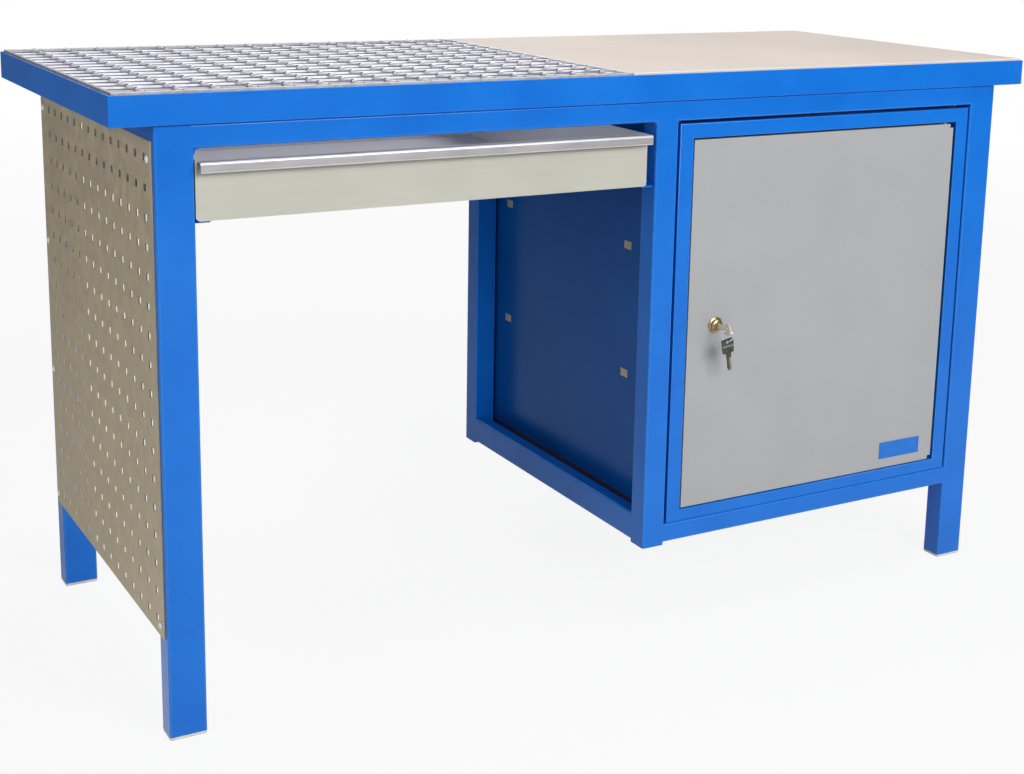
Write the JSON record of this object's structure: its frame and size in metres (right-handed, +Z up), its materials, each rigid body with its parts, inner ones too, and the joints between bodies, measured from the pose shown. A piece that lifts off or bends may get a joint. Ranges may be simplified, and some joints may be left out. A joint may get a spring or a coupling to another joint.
{
  "type": "welding table",
  "caption": "Steel welding table with a lift-off grating and a plate as its top, a sliding tray, a perforated side panel and a lockable door cabinet.",
  "frame": {"origin": "middle of the bounding box's base, on the floor; the key in the lock reaches furthest forward and counts", "axes": "+X to the right along the table's length, towards the cabinet; -Y to the front, towards the door's face and the tray's handle; +Z up"},
  "size_m": [1.5, 0.634, 0.854],
  "materials": {
    "blue_paint": "satin powder coat",
    "grey_paint": "satin powder coat",
    "zinc": "zinc coated",
    "plate_steel": "bare rolled plate",
    "tray_steel": "bare sheet",
    "handle_steel": "bright sheet",
    "panel_steel": "zinc coated sheet",
    "brass": "polished",
    "dark_nickel": "dark nickel",
    "ring_steel": "bright wire",
    "foot_plastic": "matte",
    "label_blue": "plain film"
  },
  "bodies": {
    "bench": {"leg_front_left": "blue_paint", "leg_front_right": "blue_paint", "leg_rear_left": "blue_paint", "leg_rear_right": "blue_paint", "foot_front_left": "foot_plastic", "foot_front_right": "foot_plastic", "foot_rear_left": "foot_plastic", "foot_rear_right": "foot_plastic", "post_front": "blue_paint", "post_rear": "blue_paint", "top_rail_front": "blue_paint", "top_rail_rear": "blue_paint", "top_rail_left": "blue_paint", "top_rail_right": "blue_paint", "top_rail_middle": "blue_paint", "lower_rail_front": "blue_paint", "lower_rail_rear": "blue_paint", "lower_rail_left": "blue_paint", "lower_rail_right": "blue_paint", "rim_front": "blue_paint", "rim_rear": "blue_paint", "rim_left": "blue_paint", "rim_right": "blue_paint", "deck_divider": "blue_paint", "deck_plate": "plate_steel", "plate_bearer_left": "blue_paint", "plate_bearer_right": "blue_paint", "perforated_panel": "panel_steel", "panel_screw_1": "zinc", "panel_screw_2": "zinc", "panel_screw_3": "zinc", "panel_screw_4": "zinc", "panel_screw_5": "zinc", "panel_screw_6": "zinc", "cabinet_left_side": "blue_paint", "cabinet_right_side": "blue_paint", "cabinet_back": "blue_paint", "cabinet_floor": "blue_paint", "cabinet_top": "blue_paint", "shelf_lower": "zinc", "shelf_upper": "zinc", "door_surround": "blue_paint", "hinge_pin_top": "zinc", "hinge_pin_bottom": "zinc", "runner_left": "blue_paint", "runner_right": "blue_paint"},
    "lift_grating": {"grating": "zinc"},
    "slide_tray": {"tray": "tray_steel", "tray_handle": "handle_steel"},
    "swing_door": {"door": "grey_paint", "door_label": "label_blue", "lock_body": "brass", "lock_nut": "zinc"},
    "lock_rotor": {"lock_plug": "brass", "lock_cam": "zinc", "key": "brass"},
    "hanging_ring": {"key_ring": "ring_steel"},
    "hanging_key": {"spare_key": "dark_nickel"}
  },
  "joints": [
    {"name": "door_hinge", "type": "hinge", "parent": "bench", "child": "swing_door", "pos_m": [0.601, -0.2675, 0.4675], "axis": [0, 0, 1], "range_deg": [0, 110]},
    {"name": "lock_turn", "type": "hinge", "parent": "swing_door", "child": "lock_rotor", "pos_m": [0.154, -0.2854, 0.4675], "axis": [0, 1, 0], "range_deg": [0, 90]},
    {"name": "ring_swing", "type": "hinge", "parent": "lock_rotor", "child": "hanging_ring", "pos_m": [0.154, -0.31, 0.4661], "axis": [0.7071, -0.7071, 0], "range_deg": [-60, 25]},
    {"name": "spare_key_swing", "type": "hinge", "parent": "hanging_ring", "child": "hanging_key", "pos_m": [0.154, -0.31, 0.4497], "axis": [0.7071, -0.7071, 0], "range_deg": [-25, 10]},
    {"name": "tray_slide", "type": "slide", "parent": "bench", "child": "slide_tray", "axis": [0, -1, 0], "range_m": [0, 0.4]},
    {"name": "grating_lift", "type": "slide", "parent": "bench", "child": "lift_grating", "axis": [0, 0, 1], "range_m": [0, 0.06]}
  ]
}
